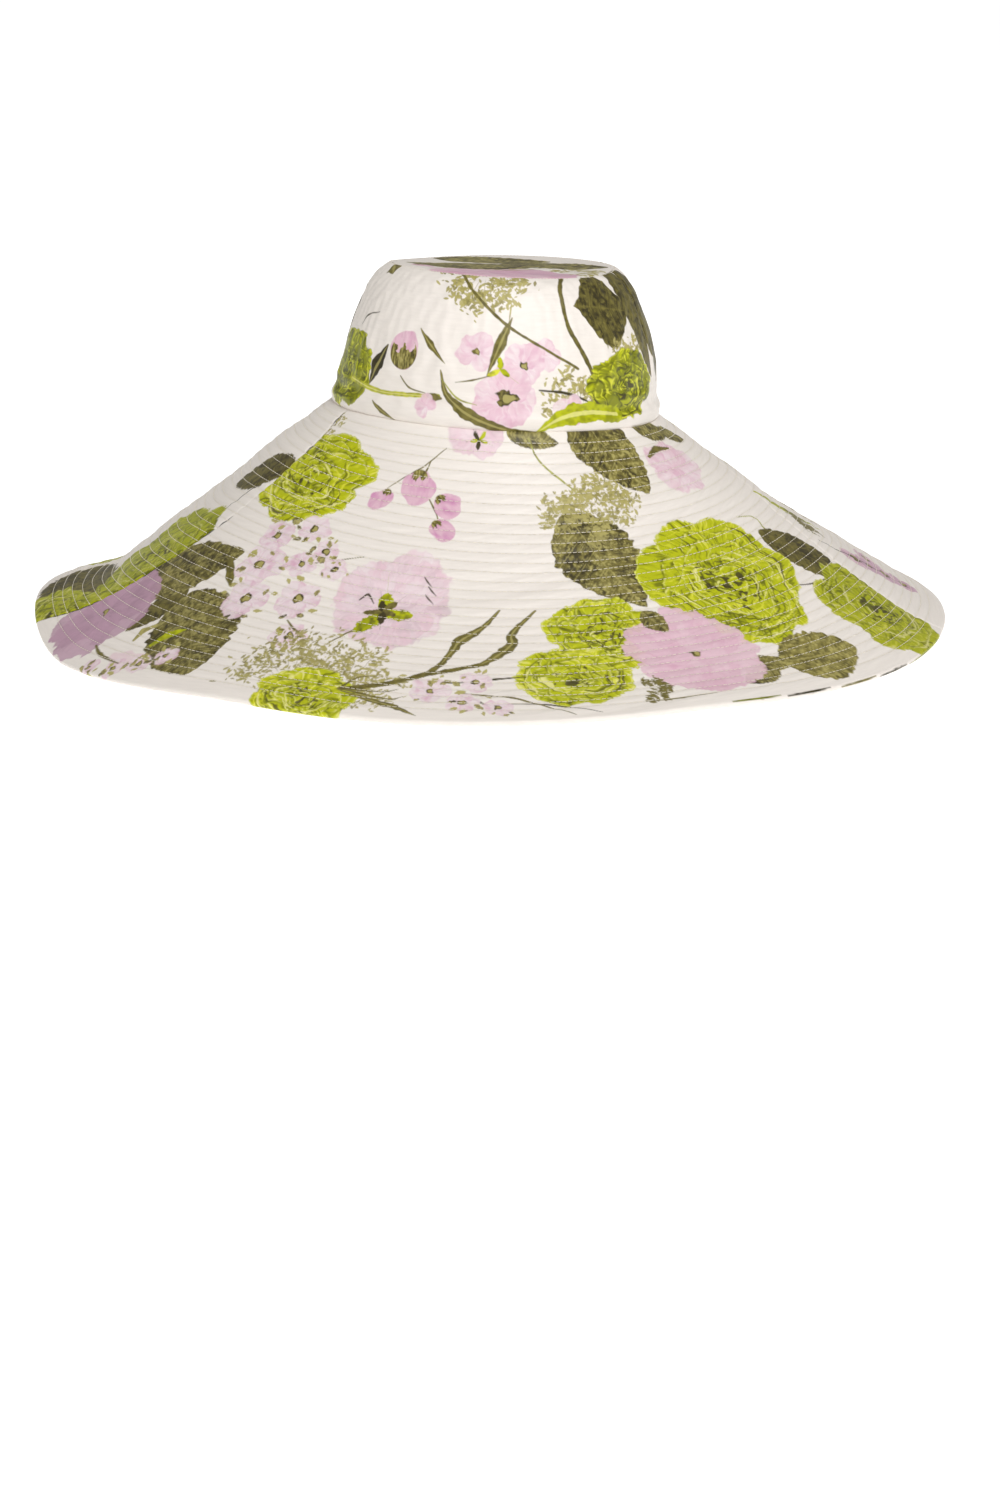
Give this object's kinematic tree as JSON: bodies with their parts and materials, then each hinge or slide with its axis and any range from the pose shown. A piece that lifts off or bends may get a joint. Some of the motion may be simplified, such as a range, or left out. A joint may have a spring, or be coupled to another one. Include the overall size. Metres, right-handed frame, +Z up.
{
  "type": "sewn wide-brim sun hat",
  "caption": "Wide-brim sewn sun hat with a flat-topped crown and a drooping conical brim, in floral satin quilted with concentric rows of topstitching.",
  "frame": {"origin": "centre of the circle that the brim edge rests on", "axes": "+Z up along the hat's axis, -Y towards the wearer's front, +X to the right as seen from the front"},
  "size_m": [0.5299, 0.53, 0.2123],
  "materials": {
    "printed_satin": "satin weave with a soft sheen, ivory with a large floral print",
    "plain_satin": "plain ivory satin, quilted",
    "interlining": "matt bonded felt",
    "lining_cloth": "smooth plain weave",
    "ribbon": "ribbed grosgrain",
    "thread": "twisted polyester thread, slight shine"
  },
  "bodies": {
    "root": {"crown_tip": "printed_satin", "crown_side_front": "printed_satin", "crown_side_back": "printed_satin", "crown_tip_interlining": "interlining", "crown_side_interlining": "interlining", "crown_tip_lining": "lining_cloth", "crown_side_lining_front": "lining_cloth", "crown_side_lining_back": "lining_cloth", "sweatband": "ribbon", "brim_top_front": "printed_satin", "brim_top_back": "printed_satin", "brim_interlining_front": "interlining", "brim_interlining_back": "interlining", "brim_under_front": "plain_satin", "brim_under_back": "plain_satin", "crown_tip_topstitching": "thread", "brim_hem_topstitching": "thread"}
  },
  "joints": []
}
